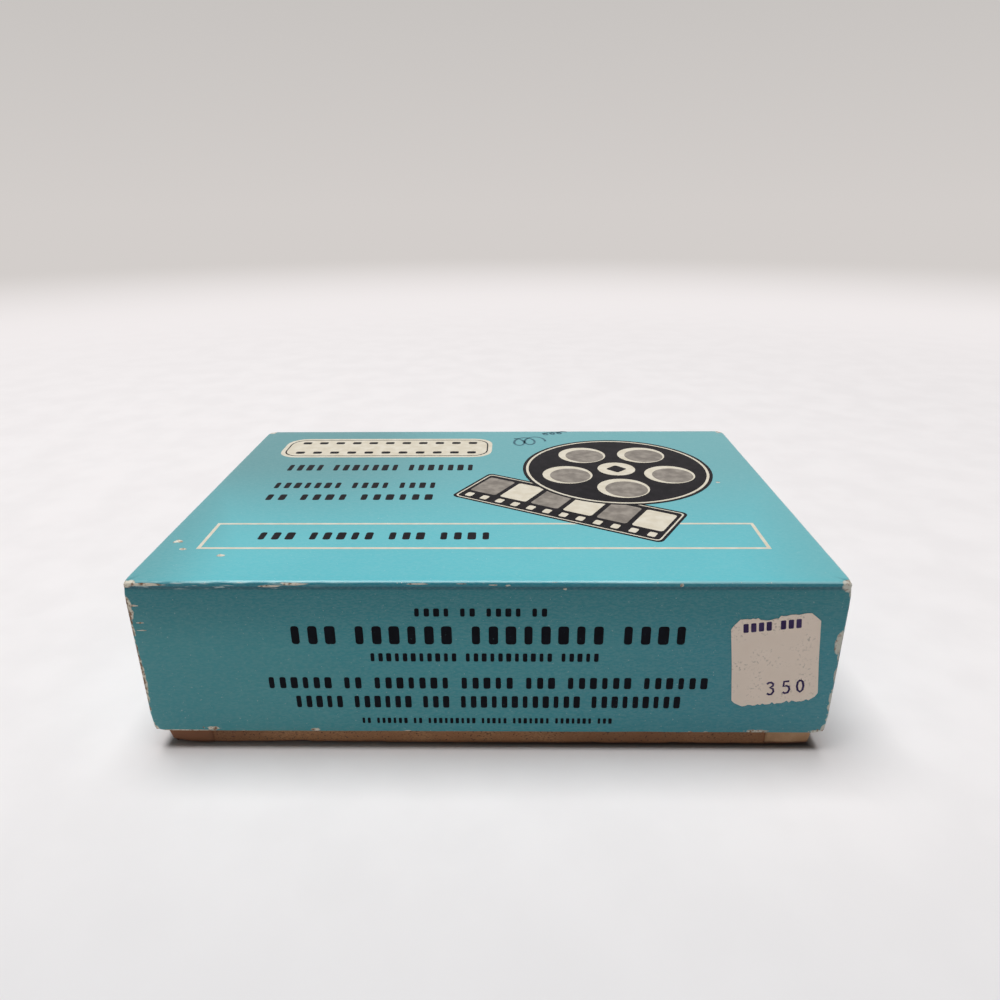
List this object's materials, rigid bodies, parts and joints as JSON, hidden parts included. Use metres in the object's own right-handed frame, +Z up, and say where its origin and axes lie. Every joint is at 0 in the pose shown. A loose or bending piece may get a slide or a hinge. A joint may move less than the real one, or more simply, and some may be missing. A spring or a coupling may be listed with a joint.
{
  "type": "film splicer",
  "caption": "Film splicer with hinged clamps, a hinged bed, register pins and finger knobs, packed in a closed paper-covered carton with a lift-off lid.",
  "frame": {"origin": "centre of the closed carton's underside, on the surface it stands on", "axes": "+X along the carton, +Y to its back, -Y its labelled front, +Z up"},
  "size_m": [0.146, 0.1017, 0.042],
  "materials": {
    "chipboard": "rough grey-brown board",
    "kraft_paper": "matt kraft paper",
    "printed_paper": "glossy printed paper",
    "label_paper": "matt label paper",
    "black_moulding": "moulded, slight texture",
    "foot_rubber": "matt",
    "bright_steel": "bright drawn",
    "blade_steel": "ground",
    "spring_steel": "spring wire and strip",
    "plated_steel": "satin nickel plate",
    "cast_bed": "machined casting",
    "spun_aluminium": "bright spun",
    "plate_aluminium": "satin",
    "turned_knob": "turned and polished"
  },
  "bodies": {
    "carton_tray": {"tray_board": "chipboard", "tray_corner_stays": "kraft_paper", "insert_collar": "chipboard"},
    "carton_lid": {"lid_board": "chipboard", "lid_wrap": "printed_paper", "price_sticker": "label_paper"},
    "splicer_base": {"base_moulding": "black_moulding", "rubber_feet": "foot_rubber", "film_track": "bright_steel", "left_bed": "cast_bed", "left_pins": "bright_steel", "fixed_blade": "blade_steel", "bed_screws": "bright_steel", "nameplate": "plate_aluminium", "dish": "spun_aluminium", "hinge_rod": "bright_steel", "rod_clips": "bright_steel", "side_washer": "bright_steel", "side_spring": "spring_steel"},
    "left_clamp_leaf": {"left_clamp": "plated_steel", "left_knob": "turned_knob"},
    "right_bed_leaf": {"right_bed": "cast_bed", "right_pins": "bright_steel", "moving_blade": "blade_steel"},
    "right_clamp_leaf": {"right_clamp": "plated_steel", "right_knob": "turned_knob", "catch_spring": "spring_steel"}
  },
  "joints": [
    {"name": "lid_lift", "type": "slide", "parent": "carton_tray", "child": "carton_lid", "axis": [0, 0, 1], "range_m": [0, 0.16]},
    {"name": "splicer_lift", "type": "slide", "parent": "carton_tray", "child": "splicer_base", "axis": [0, 0, 1], "range_m": [0, 0.06]},
    {"name": "left_clamp_hinge", "type": "hinge", "parent": "splicer_base", "child": "left_clamp_leaf", "pos_m": [-0.0015, 0, 0.0251], "axis": [0, 1, 0], "range_deg": [0, 100]},
    {"name": "right_bed_hinge", "type": "hinge", "parent": "splicer_base", "child": "right_bed_leaf", "pos_m": [-0.0015, 0, 0.0251], "axis": [0, 1, 0], "range_deg": [0, 50]},
    {"name": "right_clamp_hinge", "type": "hinge", "parent": "right_bed_leaf", "child": "right_clamp_leaf", "pos_m": [-0.0015, 0, 0.0251], "axis": [0, 1, 0], "range_deg": [0, 50]}
  ],
  "couplings": [
    {"joint": "splicer_lift", "follows": "lid_lift", "ratio": 0.37},
    {"joint": "left_clamp_hinge", "follows": "lid_lift", "rad_per_m": 10.9},
    {"joint": "right_bed_hinge", "follows": "lid_lift", "rad_per_m": 5.45},
    {"joint": "right_clamp_hinge", "follows": "lid_lift", "rad_per_m": 5.45}
  ]
}
